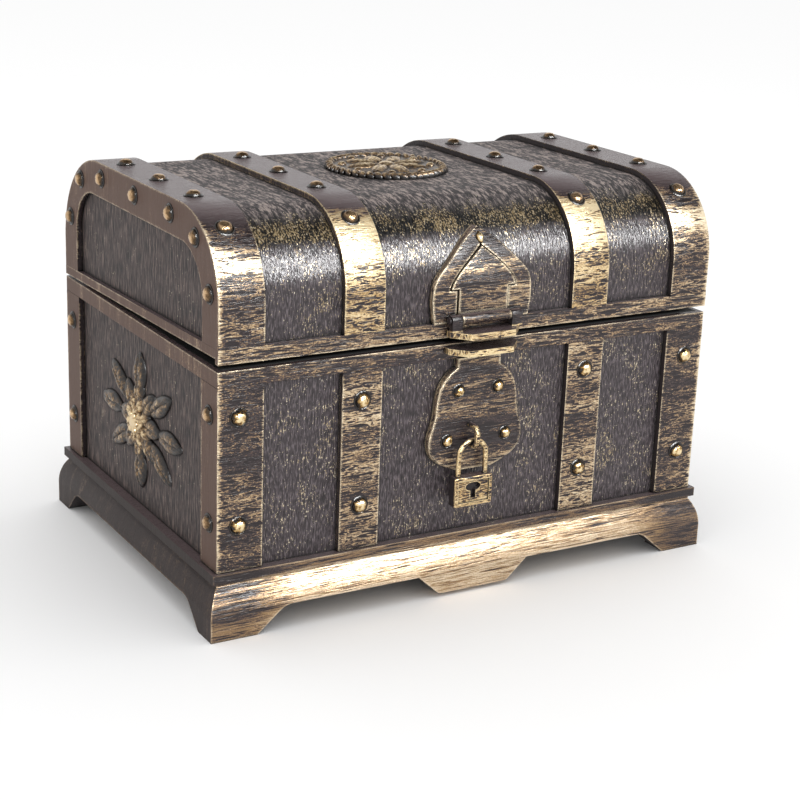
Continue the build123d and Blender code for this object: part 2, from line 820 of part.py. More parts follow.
# Lock staple: an upright loop of wire on the lock plate
staple_front = lock_face + staple_leg
staple_reach = staple_front + staple_bow
staple_corner = staple_bend - staple_bow
diagonal = staple_bow * cos(radians(45))
with BuildPart() as lock_staple:
    with BuildLine(Plane.YZ.offset(staple_offset)):
        top = (-staple_front, staple_height + staple_bend)
        foot = (-staple_front, staple_height - staple_bend)
        front_top = (-staple_reach, staple_height + staple_corner)
        front_foot = (-staple_reach, staple_height - staple_corner)
        Line((-lock_face, staple_height + staple_bend), top)
        ThreePointArc(top, (-staple_front - diagonal, front_top[1] + diagonal), front_top)
        Line(front_top, front_foot)
        ThreePointArc(front_foot, (-staple_front - diagonal, front_foot[1] - diagonal), foot)
        Line(foot, (-lock_face, staple_height - staple_bend))
    with BuildSketch(Plane.XZ.offset(lock_face)):
        with Locations((staple_offset, staple_height + staple_bend)):
            Circle(staple_wire)
    sweep()
save(lock_staple, "lock_staple")

# Padlock shackle: a bent wire with one short leg
with BuildPart() as padlock_shackle:
    left = staple_offset - shackle_bend
    right = staple_offset + shackle_bend
    with BuildLine(Plane.XZ.offset(shackle_depth)):
        Line((left, padlock_top - shackle_long_leg), (left, shackle_centre))
        ThreePointArc((left, shackle_centre), (staple_offset, shackle_top), (right, shackle_centre))
        Line((right, shackle_centre), (right, padlock_top - shackle_short_leg))
    with BuildSketch(Plane.XY.offset(padlock_top - shackle_long_leg)):
        with Locations((left, -shackle_depth)):
            Circle(shackle_wire)
    sweep()
save(padlock_shackle, "padlock_shackle")

# Padlock body: a small case with a rimmed front, a leg hole on each side and a keyhole
padlock_middle = padlock_top - padlock_height / 2
with BuildPart() as padlock_body:
    with BuildSketch(Plane.XZ.offset(shackle_depth - padlock_thickness / 2)):
        with Locations((staple_offset, padlock_middle)):
            Rectangle(padlock_width, padlock_height)
    extrude(amount=padlock_thickness)
    fillet(padlock_body.edges().filter_by(Axis.Y), padlock_round)
    fillet(padlock_body.faces().sort_by(Axis.Y)[0].edges(), edge_round)
    fillet(padlock_body.faces().sort_by(Axis.Y)[-1].edges(), edge_round)
    with BuildSketch(Plane.XY.offset(padlock_top)):
        with Locations((staple_offset - shackle_bend, -shackle_depth)):
            Circle(shackle_wire + leg_clearance)
    extrude(amount=-shackle_long_leg - leg_clearance, mode=Mode.SUBTRACT)
    with BuildSketch(Plane.XY.offset(padlock_top)):
        with Locations((staple_offset + shackle_bend, -shackle_depth)):
            Circle(shackle_wire + leg_clearance)
    extrude(amount=-shackle_short_leg - leg_clearance, mode=Mode.SUBTRACT)
    with BuildSketch(Plane.XZ.offset(shackle_depth + padlock_thickness / 2)):
        with Locations((staple_offset, padlock_middle)):
            Rectangle(padlock_width - 2 * padlock_rim, padlock_height - 2 * padlock_rim)
    extrude(amount=-padlock_recess, mode=Mode.SUBTRACT)
    with BuildSketch(Plane.XZ.offset(shackle_depth + padlock_thickness / 2 - padlock_recess)):
        with Locations((staple_offset, padlock_middle + keyhole_half_height)):
            Ellipse(keyhole_half_width, keyhole_half_height)
        with Locations((staple_offset, padlock_middle + keyhole_half_height - keyhole_slot_length / 2)):
            Rectangle(keyhole_slot_width, keyhole_slot_length)
    extrude(amount=-keyhole_depth, mode=Mode.SUBTRACT)
save(padlock_body, "padlock_body")

# Rear hinges: a body leaf, a lid leaf, a pin and their rivets, behind the middle straps
hinge_axle = (hinge_axis_depth, hinge_height)
leaf_top = hinge_height - hinge_leaf_gap
lid_leaf_foot = hinge_height + hinge_leaf_gap + hinge_lid_lift
outer_knuckle = (strap_width - hinge_centre_knuckle) / 2 - knuckle_gap


def hinge_leaf(face, low, high, near, starts, length, across):
    """A leaf on a back face, its arm, and knuckles that start at the given places."""
    outside = face + hinge_leaf_thickness
    with BuildPart() as leaf:
        with BuildSketch(Plane.YZ.offset(across - strap_width / 2)):
            with Locations((face + hinge_leaf_thickness / 2, (low + high) / 2)):
                Rectangle(hinge_leaf_thickness, high - low)
        extrude(amount=strap_width)
        for start in starts:
            with BuildSketch(Plane.YZ.offset(start)):
                with Locations(hinge_axle):
                    Circle(hinge_knuckle_radius)
                Polygon(*arm_outline(face, near), align=None)
                with Locations(hinge_axle):
                    Circle(hinge_pin_radius + pin_clearance, mode=Mode.SUBTRACT)
            extrude(amount=length)
    return leaf


def arm_outline(face, near):
    """Web between a leaf's near edge and its knuckle."""
    side = 1 if near > hinge_height else -1
    shoulder = hinge_knuckle_radius * arm_share
    return (
        (face, near),
        (hinge_axis_depth, hinge_height),
        (hinge_axis_depth + shoulder, hinge_height + side * shoulder),
        (face + hinge_leaf_thickness, near + side * arm_length),
        (face, near + side * arm_length),
    )


for name, side_x in (("left", -1), ("right", 1)):
    across = side_x * strap_centre
    first = across - strap_width / 2
    last = across + strap_width / 2 - outer_knuckle
    body_leaf = hinge_leaf(
        half_depth, leaf_top - hinge_leaf_length, leaf_top, leaf_top, (first, last), outer_knuckle, across
    )
    save(body_leaf, f"hinge_body_leaf_{name}")
    lid_leaf = hinge_leaf(
        lid_half,
        lid_leaf_foot,
        lid_leaf_foot + hinge_leaf_length,
        lid_leaf_foot,
        (across - hinge_centre_knuckle / 2,),
        hinge_centre_knuckle,
        across,
    )
    save(lid_leaf, f"hinge_lid_leaf_{name}")
    with BuildPart() as hinge_pin:
        with BuildSketch(Plane.YZ.offset(first)):
            with Locations(hinge_axle):
                Circle(hinge_pin_radius)
        extrude(amount=strap_width)
        for end, way in ((first, -1), (first + strap_width, 1)):
            with BuildSketch(Plane.YZ.offset(end)):
                with Locations(hinge_axle):
                    Circle(pin_head_radius)
            extrude(amount=way * pin_head_height)
    save(hinge_pin, f"hinge_pin_{name}")

rivet_rows = (hinge_leaf_length - hinge_rivet_pitch) / 2
body_leaf_rivets = [
    Plane(
        origin=(side * strap_centre + place, half_depth + hinge_leaf_thickness, leaf_top - drop),
        x_dir=(1, 0, 0),
        z_dir=(0, 1, 0),
    )
    for side in (-1, 1)
    for place in (-hinge_rivet_spread, hinge_rivet_spread)
    for drop in (rivet_rows + hinge_rivet_shift, rivet_rows + hinge_rivet_shift + hinge_rivet_pitch)
]
save(domes(body_leaf_rivets, hinge_rivet_radius, hinge_rivet_height), "hinge_body_rivets")
lid_leaf_rivets = [
    Plane(
        origin=(side * strap_centre + place, lid_half + hinge_leaf_thickness, lid_leaf_foot + rise),
        x_dir=(1, 0, 0),
        z_dir=(0, 1, 0),
    )
    for side in (-1, 1)
    for place in (-hinge_rivet_spread, hinge_rivet_spread)
    for rise in (rivet_rows + hinge_rivet_shift, rivet_rows + hinge_rivet_shift + hinge_rivet_pitch)
]
save(domes(lid_leaf_rivets, hinge_rivet_radius, hinge_rivet_height), "hinge_lid_rivets")
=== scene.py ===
from math import cos, pi, radians, sin

import bmesh
import bpy
from mathutils import Matrix, Vector


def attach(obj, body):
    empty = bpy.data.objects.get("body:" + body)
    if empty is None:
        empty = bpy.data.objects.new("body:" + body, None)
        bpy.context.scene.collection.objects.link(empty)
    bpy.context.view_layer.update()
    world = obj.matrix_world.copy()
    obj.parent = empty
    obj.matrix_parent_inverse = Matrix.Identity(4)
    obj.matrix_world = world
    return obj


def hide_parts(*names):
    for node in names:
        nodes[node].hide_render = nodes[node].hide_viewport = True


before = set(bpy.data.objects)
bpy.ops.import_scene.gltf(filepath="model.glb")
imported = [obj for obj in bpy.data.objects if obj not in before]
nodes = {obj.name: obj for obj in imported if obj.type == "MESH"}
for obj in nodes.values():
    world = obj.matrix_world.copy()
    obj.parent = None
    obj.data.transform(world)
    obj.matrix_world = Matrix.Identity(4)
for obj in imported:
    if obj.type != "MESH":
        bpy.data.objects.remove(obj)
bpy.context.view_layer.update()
mm = 0.001

# The chest stands on a table, seen from its front left corner and a little above.
# A long lens keeps its upright edges nearly parallel.
camera_place = Vector((-222.82, -387.67, 177.93)) * mm
camera_yaw = radians(30.651)
camera_pitch = radians(17.785)
camera_roll = radians(2.155)
camera = bpy.data.objects.new("camera", bpy.data.cameras.new("camera"))
camera.data.lens = 80.53
camera.data.sensor_width = 36
camera.matrix_world = (
    Matrix.Translation(camera_place)
    @ Matrix.Rotation(-camera_yaw, 4, "Z")
    @ Matrix.Rotation(pi / 2 - camera_pitch, 4, "X")
    @ Matrix.Rotation(camera_roll, 4, "Z")
)
bpy.context.collection.objects.link(camera)
bpy.context.scene.camera = camera
bpy.context.scene.view_settings.view_transform = "Standard"


# Plinth: a hollow base frame with bracket feet, injection moulded in black ABS.
# Gold paint is dragged over it sideways with a nearly dry brush, thickest on the flare and its edges.
def linear(hex_colour):
    """The linear colour of an sRGB hex value."""
    channels = [int(hex_colour[i:i + 2], 16) / 255 for i in (1, 3, 5)]
    return [c / 12.92 if c <= 0.04045 else ((c + 0.055) / 1.055) ** 2.4 for c in channels] + [1]


def add_node(tree, kind, inputs=(), steps=(), **settings):
    """A new node with its settings, its values, its links and a ramp's (place, hex) steps.

    Inputs go by name, or by number where a node has names twice. Map Range has its value at 0, the range
    that it comes from at 1 and 2, and the range that it goes to at 3 and 4. Mix has its share at 0, then
    two numbers at 2 and 3, two vectors at 4 and 5 and two colours at 6 and 7. Mapping has its scale at 3.
    """
    made = tree.nodes.new(kind)
    for name, value in settings.items():
        setattr(made, name, value)
    for name, value in dict(inputs).items():
        if isinstance(value, bpy.types.NodeSocket):
            tree.links.new(value, made.inputs[name])
        else:
            made.inputs[name].default_value = value
    for place, colour in steps[2:]:
        made.color_ramp.elements.new(place)
    for index, (place, colour) in enumerate(steps):
        made.color_ramp.elements[index].position = place
        made.color_ramp.elements[index].color = linear(colour)
    return made


def new_material(name):
    """An empty Principled material, with its tree, its shader and where on the chest a spot is."""
    made = bpy.data.materials.new(name)
    made.use_nodes = True
    tree = made.node_tree
    return made, tree, tree.nodes["Principled BSDF"], add_node(tree, "ShaderNodeTexCoord").outputs["Object"]


def facing_ways(tree, place, heart):
    """How far a surface faces up, an end of the chest, its top, and away from the heart of a hollow."""
    normal = add_node(tree, "ShaderNodeTexCoord").outputs["Normal"]
    facing = add_node(tree, "ShaderNodeSeparateXYZ", {0: normal})
    sideways = add_node(tree, "ShaderNodeMath", {0: facing.outputs["X"]}, operation="ABSOLUTE")
    on_end = add_node(tree, "ShaderNodeMapRange", {0: sideways.outputs[0], 1: 0.6, 2: 0.8})
    on_top = add_node(
        tree,
        "ShaderNodeMapRange",
        {0: facing.outputs["Z"], 1: 0.75, 2: 0.97},
        interpolation_type="SMOOTHSTEP",
    )
    from_heart = add_node(
        tree, "ShaderNodeVectorMath", {0: place, 1: (0, 0, heart * mm)}, operation="SUBTRACT"
    )
    away = add_node(
        tree, "ShaderNodeVectorMath", {0: from_heart.outputs[0], 1: normal}, operation="DOT_PRODUCT"
    )
    outside = add_node(tree, "ShaderNodeMath", {0: away.outputs["Value"], 1: 0.0}, operation="GREATER_THAN")
    return facing.outputs["Z"], on_end.outputs[0], on_top.outputs[0], outside.outputs[0]


def out_of_crease_shade(tree):
    """1 in the open and 0 deep in a crease about 0.5 mm wide, which the brush can't reach: the mask of the
    painted shade in creases.
    """
    near = add_node(tree, "ShaderNodeAmbientOcclusion", {"Distance": 0.9 * mm}, samples=6)
    return add_node(tree, "ShaderNodeMapRange", {0: near.outputs["AO"], 1: 0.5, 2: 0.85}).outputs[0]


def dry_brushed(
    name, heart, cover, rims, end_cover=-0.14, top_cover=-0.3, edge=0.8, edge_cover=0.3, brush=(0.2, 1.3),
    corner=(66.3, 67.0, 0.0), curve=(0.55, 0.4, 0.0), bare_above=200, bare_behind=200, end_tone="#634a3c",
    gold=((0.535, "#86694c"), (0.58, "#bd9f78"), (0.72, "#e8d8ba")),
):
    """Black ABS, semi-gloss, under wavy strokes of gold paint about 0.4 mm wide and 3 mm long.

    A brush says how many strokes there are to a millimetre, along and across.
    Each cover adds paint or takes it away: on faces, ends, tops and edges, from one reach to another at
    the chest's corners, and round a curve that faces so far up. Edges are painted between the heights of
    the rims only, because rails and straps meet without one. Heights and reaches are in mm. The heart is
    the height of a hollow's middle, and what faces it is bare.
    """
    made, tree, shader, place = new_material(name)
    rising, on_end, on_top, outside = facing_ways(tree, place, heart)
    spot = add_node(tree, "ShaderNodeSeparateXYZ", {0: place})
    along, apart = (number / mm for number in brush)
    corner_from, corner_to, corner_cover = corner
    curve_rise, curve_spread, curve_cover = curve
    across = add_node(tree, "ShaderNodeMapping", {0: place, 3: (along, apart, apart)})
    upward = add_node(tree, "ShaderNodeMapping", {0: place, 3: (apart, apart, along / 2)})
    brushed_at = add_node(
        tree, "ShaderNodeMix", {0: on_end, 4: across.outputs[0], 5: upward.outputs[0]}, data_type="VECTOR"
    )
    streaks = add_node(
        tree,
        "ShaderNodeTexNoise",
        {"Vector": brushed_at.outputs[1], "Scale": 1.0, "Detail": 3, "Roughness": 0.6, "Distortion": 0.9},
    )
    patches = add_node(
        tree,
        "ShaderNodeTexNoise",
        {"Vector": brushed_at.outputs[1], "Scale": 0.15, "Detail": 3, "Roughness": 0.6},
    )
    # Grit of about 0.4 mm breaks up the ends of the strokes
    grit = add_node(
        tree,
        "ShaderNodeTexNoise",
        {"Vector": place, "Scale": 2.4 / mm, "Detail": 2, "Roughness": 0.6},
    )
    # A stroke is a thin line where the streaks pass their middle value
    middle = add_node(tree, "ShaderNodeMath", {0: streaks.outputs[0], 1: 0.5}, operation="SUBTRACT")
    middle = add_node(tree, "ShaderNodeMath", {0: middle.outputs[0]}, operation="ABSOLUTE")
    strokes = add_node(
        tree, "ShaderNodeMath", {0: middle.outputs[0], 1: -2.8, 2: 0.65}, operation="MULTIPLY_ADD"
    )
    # Paint is thickest where the brush has caught an edge
    rounded = add_node(tree, "ShaderNodeBevel", {"Radius": edge * mm}, samples=4)
    surface = add_node(tree, "ShaderNodeNewGeometry").outputs["Normal"]
    turn = add_node(
        tree, "ShaderNodeVectorMath", {0: rounded.outputs[0], 1: surface}, operation="DOT_PRODUCT"
    )
    caught = add_node(
        tree, "ShaderNodeMapRange", {0: turn.outputs["Value"], 1: 0.985, 2: 0.85, 4: edge_cover}
    )
    for rim, side in zip(rims, ("GREATER_THAN", "LESS_THAN")):
        within = add_node(tree, "ShaderNodeMath", {0: spot.outputs["Z"], 1: rim * mm}, operation=side)
        caught = add_node(
            tree, "ShaderNodeMath", {0: caught.outputs[0], 1: within.outputs[0]}, operation="MULTIPLY"
        )
    # The chest's upright corners have taken a broad line of paint on their front and back faces
    reach = add_node(tree, "ShaderNodeMath", {0: spot.outputs["X"]}, operation="ABSOLUTE")
    cornered = add_node(
        tree,
        "ShaderNodeMapRange",
        {0: reach.outputs[0], 1: corner_from * mm, 2: corner_to * mm, 4: corner_cover},
    )
    cornered = add_node(tree, "ShaderNodeMix", {0: on_end, 2: cornered.outputs[0], 3: 0.0})
    half_up = add_node(tree, "ShaderNodeMath", {0: rising, 1: curve_rise}, operation="SUBTRACT")
    half_up = add_node(tree, "ShaderNodeMath", {0: half_up.outputs[0]}, operation="ABSOLUTE")
    curved = add_node(
        tree,
        "ShaderNodeMapRange",
        {0: half_up.outputs[0], 1: curve_spread, 2: 0.3 * curve_spread, 4: curve_cover},
    )
    # Little paint reaches above or behind these lines
    bare = add_node(
        tree,
        "ShaderNodeMapRange",
        {0: spot.outputs["Z"], 1: (bare_above - 0.3) * mm, 2: bare_above * mm, 4: -0.31},
    )
    sunk = add_node(
        tree,
        "ShaderNodeMapRange",
        {0: spot.outputs["Y"], 1: (bare_behind - 0.1) * mm, 2: bare_behind * mm, 4: -0.4},
    )
    level = add_node(tree, "ShaderNodeMapRange", {0: on_end, 3: cover, 4: end_cover})
    level = add_node(tree, "ShaderNodeMix", {0: on_top, 2: level.outputs[0], 3: top_cover})
    level = add_node(tree, "ShaderNodeMix", {0: outside, 2: -0.4, 3: level.outputs[0]})
    patchy = add_node(
        tree, "ShaderNodeMath", {0: patches.outputs[0], 1: 0.5, 2: -0.25}, operation="MULTIPLY_ADD"
    )
    gritty = add_node(
        tree, "ShaderNodeMath", {0: grit.outputs[0], 1: 0.3, 2: -0.15}, operation="MULTIPLY_ADD"
    )
    paint = strokes.outputs[0]
    for share in (level, patchy, gritty, caught, cornered, curved, bare, sunk):
        paint = add_node(tree, "ShaderNodeMath", {0: paint, 1: share.outputs[0]}, operation="ADD").outputs[0]
    colour = add_node(
        tree,
        "ShaderNodeValToRGB",
        {0: paint},
        ((0.36, "#2b2324"), (0.505, "#4c4041")) + gold,
    )
    # Tops take a lighter grey-mauve: a painted sheen of what they reflect
    colour = add_node(
        tree, "ShaderNodeMix", {0: on_top, 6: colour.outputs[0], 7: linear("#5e5152")}, data_type="RGBA"
    )
    # The chest's ends, more than 63 mm out, take a duller tone that leaves their edges golden
    painted = add_node(tree, "ShaderNodeMapRange", {0: paint, 1: 0.50, 2: 0.60})
    dulled = add_node(tree, "ShaderNodeMapRange", {0: painted.outputs[0], 3: 0.7, 4: 0.3})
    at_end = add_node(tree, "ShaderNodeMapRange", {0: reach.outputs[0], 1: 63 * mm, 2: 64 * mm})
    toned = add_node(tree, "ShaderNodeMath", {0: on_end, 1: at_end.outputs[0]}, operation="MULTIPLY")
    toned = add_node(
        tree, "ShaderNodeMath", {0: toned.outputs[0], 1: dulled.outputs[0]}, operation="MULTIPLY"
    )
    colour = add_node(
        tree,
        "ShaderNodeMix",
        {0: toned.outputs[0], 6: colour.outputs[2], 7: linear(end_tone)},
        data_type="RGBA",
    )
    # Creases are painted near black: painted shade, where the brush doesn't reach either
    colour = add_node(
        tree,
        "ShaderNodeMix",
        {0: out_of_crease_shade(tree), 6: linear("#0d0a0a"), 7: colour.outputs[2]},
        data_type="RGBA",
    )
    metal = add_node(tree, "ShaderNodeMapRange", {0: painted.outputs[0], 4: 0.4})
    matt = add_node(tree, "ShaderNodeMapRange", {0: on_end, 3: 0.27, 4: 0.6})
    rough = add_node(tree, "ShaderNodeMix", {0: painted.outputs[0], 2: matt.outputs[0], 3: 0.32})
    raised = add_node(tree, "ShaderNodeBump", {"Height": paint, "Strength": 0.5, "Distance": 0.2 * mm})
    tree.links.new(colour.outputs[2], shader.inputs["Base Color"])
    tree.links.new(metal.outputs[0], shader.inputs["Metallic"])
    tree.links.new(rough.outputs[0], shader.inputs["Roughness"])
    tree.links.new(raised.outputs[0], shader.inputs["Normal"])
    shader.inputs["IOR"].default_value = 1.4
    return made


def coat(name, material, softened=0.3):
    """Give a CAD piece its material, and edges softened by so many mm."""
    piece = nodes[name]
    piece.data.materials.clear()
    piece.data.materials.append(material)
    joined = piece.modifiers.new("joined", "WELD")
    joined.merge_threshold = 0.002 * mm
    if softened:
        soft = piece.modifiers.new("softened", "BEVEL")
        soft.width = softened * mm
        soft.segments = 3
        soft.limit_method = "ANGLE"
        soft.angle_limit = radians(35)
        soft.harden_normals = True


# Its outer feet and the side of its rib stay darker than the rest
ledge_bottom = 13.4
outer_feet = (47, 61, -0.32)
plinth_paint = dry_brushed(
    "dry_brushed_plinth_abs", heart=8, cover=0.31, rims=(0, 20), top_cover=0.0, brush=(0.07, 1.9),
    corner=outer_feet, bare_above=ledge_bottom, end_tone="#2f2521",
    gold=((0.55, "#755c44"), (0.74, "#aa8c67"), (0.96, "#e7d5ba")),
)
coat("plinth", plinth_paint)

# Body and lid shells: moulded in black ABS with a wood grain in the panels.
# The brush has left specks of gold on the ridges, most of all on the lid's front curve.
def grained(name, heart, hidden_above):
    """Black ABS with ridges of grain about 0.45 mm apart, and bare plastic inside, painted near black as
    shade.
    """
    made, tree, shader, place = new_material(name)
    rising, on_end, on_top, outside = facing_ways(tree, place, heart)
    # Each scale is how often a pattern changes in a millimetre along x, y and z
    up_front = add_node(tree, "ShaderNodeMapping", {0: place, 3: (2.8 / mm, 0.5 / mm, 0.5 / mm)})
    up_end = add_node(tree, "ShaderNodeMapping", {0: place, 3: (1 / mm, 2.2 / mm, 0.2 / mm)})
    grain_at = add_node(
        tree, "ShaderNodeMix", {0: on_end, 4: up_front.outputs[0], 5: up_end.outputs[0]}, data_type="VECTOR"
    )
    grain = add_node(
        tree,
        "ShaderNodeTexNoise",
        {"Vector": grain_at.outputs[1], "Scale": 1.0, "Detail": 2, "Roughness": 0.6, "Distortion": 0.25},
    )
    speck_at = add_node(tree, "ShaderNodeMapping", {0: place, 3: (2.8 / mm, 1.8 / mm, 1.8 / mm)})
    specks = add_node(
        tree,
        "ShaderNodeTexNoise",
        {"Vector": speck_at.outputs[0], "Scale": 1.0, "Detail": 2, "Roughness": 0.7},
    )
    patches = add_node(
        tree, "ShaderNodeTexNoise", {"Vector": place, "Scale": 0.16 / mm, "Detail": 2}
    )
    # The lid's front curve faces half up: there the brush has caught most ridges
    half_up = add_node(tree, "ShaderNodeMath", {0: rising, 1: 0.76}, operation="SUBTRACT")
    half_up = add_node(tree, "ShaderNodeMath", {0: half_up.outputs[0]}, operation="ABSOLUTE")
    curve = add_node(
        tree,
        "ShaderNodeMapRange",
        {0: half_up.outputs[0], 1: 0.24, 2: 0.06},
        interpolation_type="SMOOTHSTEP",
    )
    caught = add_node(tree, "ShaderNodeMath", {0: curve.outputs[0], 1: 0.088}, operation="MULTIPLY")
    flat = add_node(tree, "ShaderNodeMapRange", {0: on_top, 4: -0.12})
    ends = add_node(tree, "ShaderNodeMapRange", {0: on_end, 4: -0.07})
    patchy = add_node(
        tree, "ShaderNodeMath", {0: patches.outputs[0], 1: 0.3, 2: -0.15}, operation="MULTIPLY_ADD"
    )
    paint = add_node(tree, "ShaderNodeMath", {0: grain.outputs[0], 1: 0.35}, operation="MULTIPLY").outputs[0]
    paint = add_node(
        tree, "ShaderNodeMath", {0: specks.outputs[0], 1: 0.65, 2: paint}, operation="MULTIPLY_ADD"
    ).outputs[0]
    for share in (caught, flat, ends, patchy):
        paint = add_node(tree, "ShaderNodeMath", {0: paint, 1: share.outputs[0]}, operation="ADD").outputs[0]
    # The inner walls and the collar under the lid are never painted with gold, and they get a painted shade
    height = add_node(tree, "ShaderNodeSeparateXYZ", {0: place})
    below = add_node(
        tree, "ShaderNodeMath", {0: height.outputs["Z"], 1: hidden_above * mm}, operation="LESS_THAN"
    )
    outside_unshaded = add_node(tree, "ShaderNodeMath", {0: outside, 1: below.outputs[0]}, operation="MULTIPLY")
    speck = add_node(
        tree, "ShaderNodeMapRange", {0: paint, 1: 0.59, 2: 0.65}, interpolation_type="SMOOTHSTEP"
    )
    speck = add_node(
        tree, "ShaderNodeMath", {0: speck.outputs[0], 1: outside_unshaded.outputs[0]}, operation="MULTIPLY"
    )
    base = add_node(
        tree,
        "ShaderNodeValToRGB",
        {0: grain.outputs[0]},
        ((0.36, "#211a1c"), (0.5, "#3f3539"), (0.64, "#6c6266")),
    )
    # Ends and top are browner, and on the curve the ridges are darkened between their golden tops: a painted
    # dark reflection
    dull = add_node(tree, "ShaderNodeMath", {0: on_end, 1: on_top}, operation="ADD")
    browned_with_painted_light = base.outputs[0]
    for share, tone in ((dull, "#a4836f"), (curve, "#241c18")):
        browned_with_painted_light = add_node(
            tree,
            "ShaderNodeMix",
            {0: share.outputs[0], 6: browned_with_painted_light, 7: linear(tone)},
            data_type="RGBA",
            blend_type="MULTIPLY",
        ).outputs[2]
    # Seen along the top the ridges break up into pale dashes, and on the ends more faintly: the grain, with
    # the sheen on its ridges painted in pale.
    # They are drawn about twice as coarse as the ridges, or they wouldn't show at this slant
    dash_at = add_node(tree, "ShaderNodeMapping", {0: place, 3: (1.3 / mm, 0.35 / mm, 0.35 / mm)})
    dash_at = add_node(
        tree, "ShaderNodeMix", {0: on_end, 4: dash_at.outputs[0], 5: up_end.outputs[0]}, data_type="VECTOR"
    )
    broken = add_node(
        tree,
        "ShaderNodeTexNoise",
        {"Vector": dash_at.outputs[1], "Scale": 1.0, "Detail": 3, "Roughness": 0.75},
    )
    sheen_dashes = add_node(
        tree,
        "ShaderNodeValToRGB",
        {0: broken.outputs[0]},
        ((0.42, "#1b1617"), (0.5, "#4c4143"), (0.6, "#a6978f")),
    )
    sheen_dashed = add_node(tree, "ShaderNodeMath", {0: on_end, 1: 0.25}, operation="MULTIPLY")
    sheen_dashed = add_node(
        tree, "ShaderNodeMath", {0: on_top, 1: 0.8, 2: sheen_dashed.outputs[0]}, operation="MULTIPLY_ADD"
    )
    browned_with_painted_light = add_node(
        tree, "ShaderNodeMix", {0: sheen_dashed.outputs[0], 6: browned_with_painted_light, 7: sheen_dashes.outputs[0]}, data_type="RGBA"
    ).outputs[2]
    # Inside and on the collar the plastic is painted near black: painted shade of the gap and the hollow
    base = add_node(
        tree, "ShaderNodeMix", {0: outside_unshaded.outputs[0], 6: linear("#040404"), 7: browned_with_painted_light}, data_type="RGBA"
    )
    gold = add_node(
        tree,
        "ShaderNodeValToRGB",
        {0: specks.outputs[0]},
        ((0.4, "#7d6644"), (0.6, "#b8a27a"), (0.72, "#e9dfc8")),
    )
    colour = add_node(
        tree,
        "ShaderNodeMix",
        {0: speck.outputs[0], 6: base.outputs[2], 7: gold.outputs[0]},
        data_type="RGBA",
    )
    # Creases are painted near black: painted shade
    colour = add_node(
        tree,
        "ShaderNodeMix",
        {0: out_of_crease_shade(tree), 6: linear("#0a0808"), 7: colour.outputs[2]},
        data_type="RGBA",
    )
    metal = add_node(tree, "ShaderNodeMapRange", {0: speck.outputs[0], 4: 0.6})
    matt = add_node(tree, "ShaderNodeMapRange", {0: dull.outputs[0], 3: 0.28, 4: 0.65})
    rough = add_node(tree, "ShaderNodeMix", {0: outside_unshaded.outputs[0], 2: 0.8, 3: matt.outputs[0]})
    ridges = add_node(
        tree, "ShaderNodeBump", {"Height": grain.outputs[0], "Strength": 0.8, "Distance": 0.4 * mm}
    )
    tree.links.new(colour.outputs[2], shader.inputs["Base Color"])
    tree.links.new(metal.outputs[0], shader.inputs["Metallic"])
    tree.links.new(rough.outputs[0], shader.inputs["Roughness"])
    tree.links.new(ridges.outputs[0], shader.inputs["Normal"])
    return made


coat("body_shell", grained("grained_body_abs", heart=40, hidden_above=63.15))
coat("lid_shell", grained("grained_lid_abs", heart=60, hidden_above=200))

# Rails and straps: flat bands of black ABS over the shells, brushed with gold along the chest.
# The corner straps stay darker on their faces, and the lid's hoops carry the most paint.
edge_line = (66.2, 67.1, 0.14)
below_rails, body_rail_middle, lid_rail_middle, above_rails = 58.6, 61, 67, 69.4
over_all = 120
body_corner_paint = dry_brushed(
    "dry_brushed_corner_abs", heart=40, cover=-0.08, rims=(0, below_rails), edge=0.9, corner=edge_line
)
body_strap_paint = dry_brushed("dry_brushed_strap_abs", heart=40, cover=-0.02, rims=(0, below_rails))
body_rail_paint = dry_brushed(
    "dry_brushed_body_rail_abs", heart=40, cover=-0.07, rims=(body_rail_middle, over_all), top_cover=-0.2,
    edge=0.7, edge_cover=0.35, brush=(0.12, 1.4), corner=edge_line,
)
lid_corner_paint = dry_brushed(
    "dry_brushed_lid_corner_abs", heart=80, cover=-0.07, rims=(above_rails, over_all),
    edge=0.9, corner=edge_line, curve=(0.46, 0.18, 0.27),
)
hoop_paint = dry_brushed(
    "dry_brushed_hoop_abs", heart=80, cover=0.02, rims=(above_rails, over_all), curve=(0.55, 0.4, 0.25),
    gold=((0.535, "#8a6b45"), (0.58, "#c19f6c"), (0.72, "#edd9b0")),
)
lid_rail_paint = dry_brushed(
    "dry_brushed_lid_rail_abs", heart=80, cover=-0.03, rims=(0, lid_rail_middle), top_cover=-0.2,
    edge=0.7, brush=(0.12, 1.4), corner=edge_line,
)
for side in ("left", "right"):
    coat(f"body_corner_strap_front_{side}", body_corner_paint, 0.15)
    coat(f"body_corner_strap_back_{side}", body_corner_paint, 0.15)
    coat(f"body_front_strap_{side}", body_strap_paint, 0.15)
    coat(f"body_back_strap_{side}", body_strap_paint, 0.15)
    coat(f"lid_end_strap_{side}", lid_corner_paint, 0.15)
    coat(f"lid_hoop_{side}", hoop_paint, 0.15)
coat("body_top_rail", body_rail_paint, 0.15)
coat("lid_rim_rail", lid_rail_paint, 0.15)


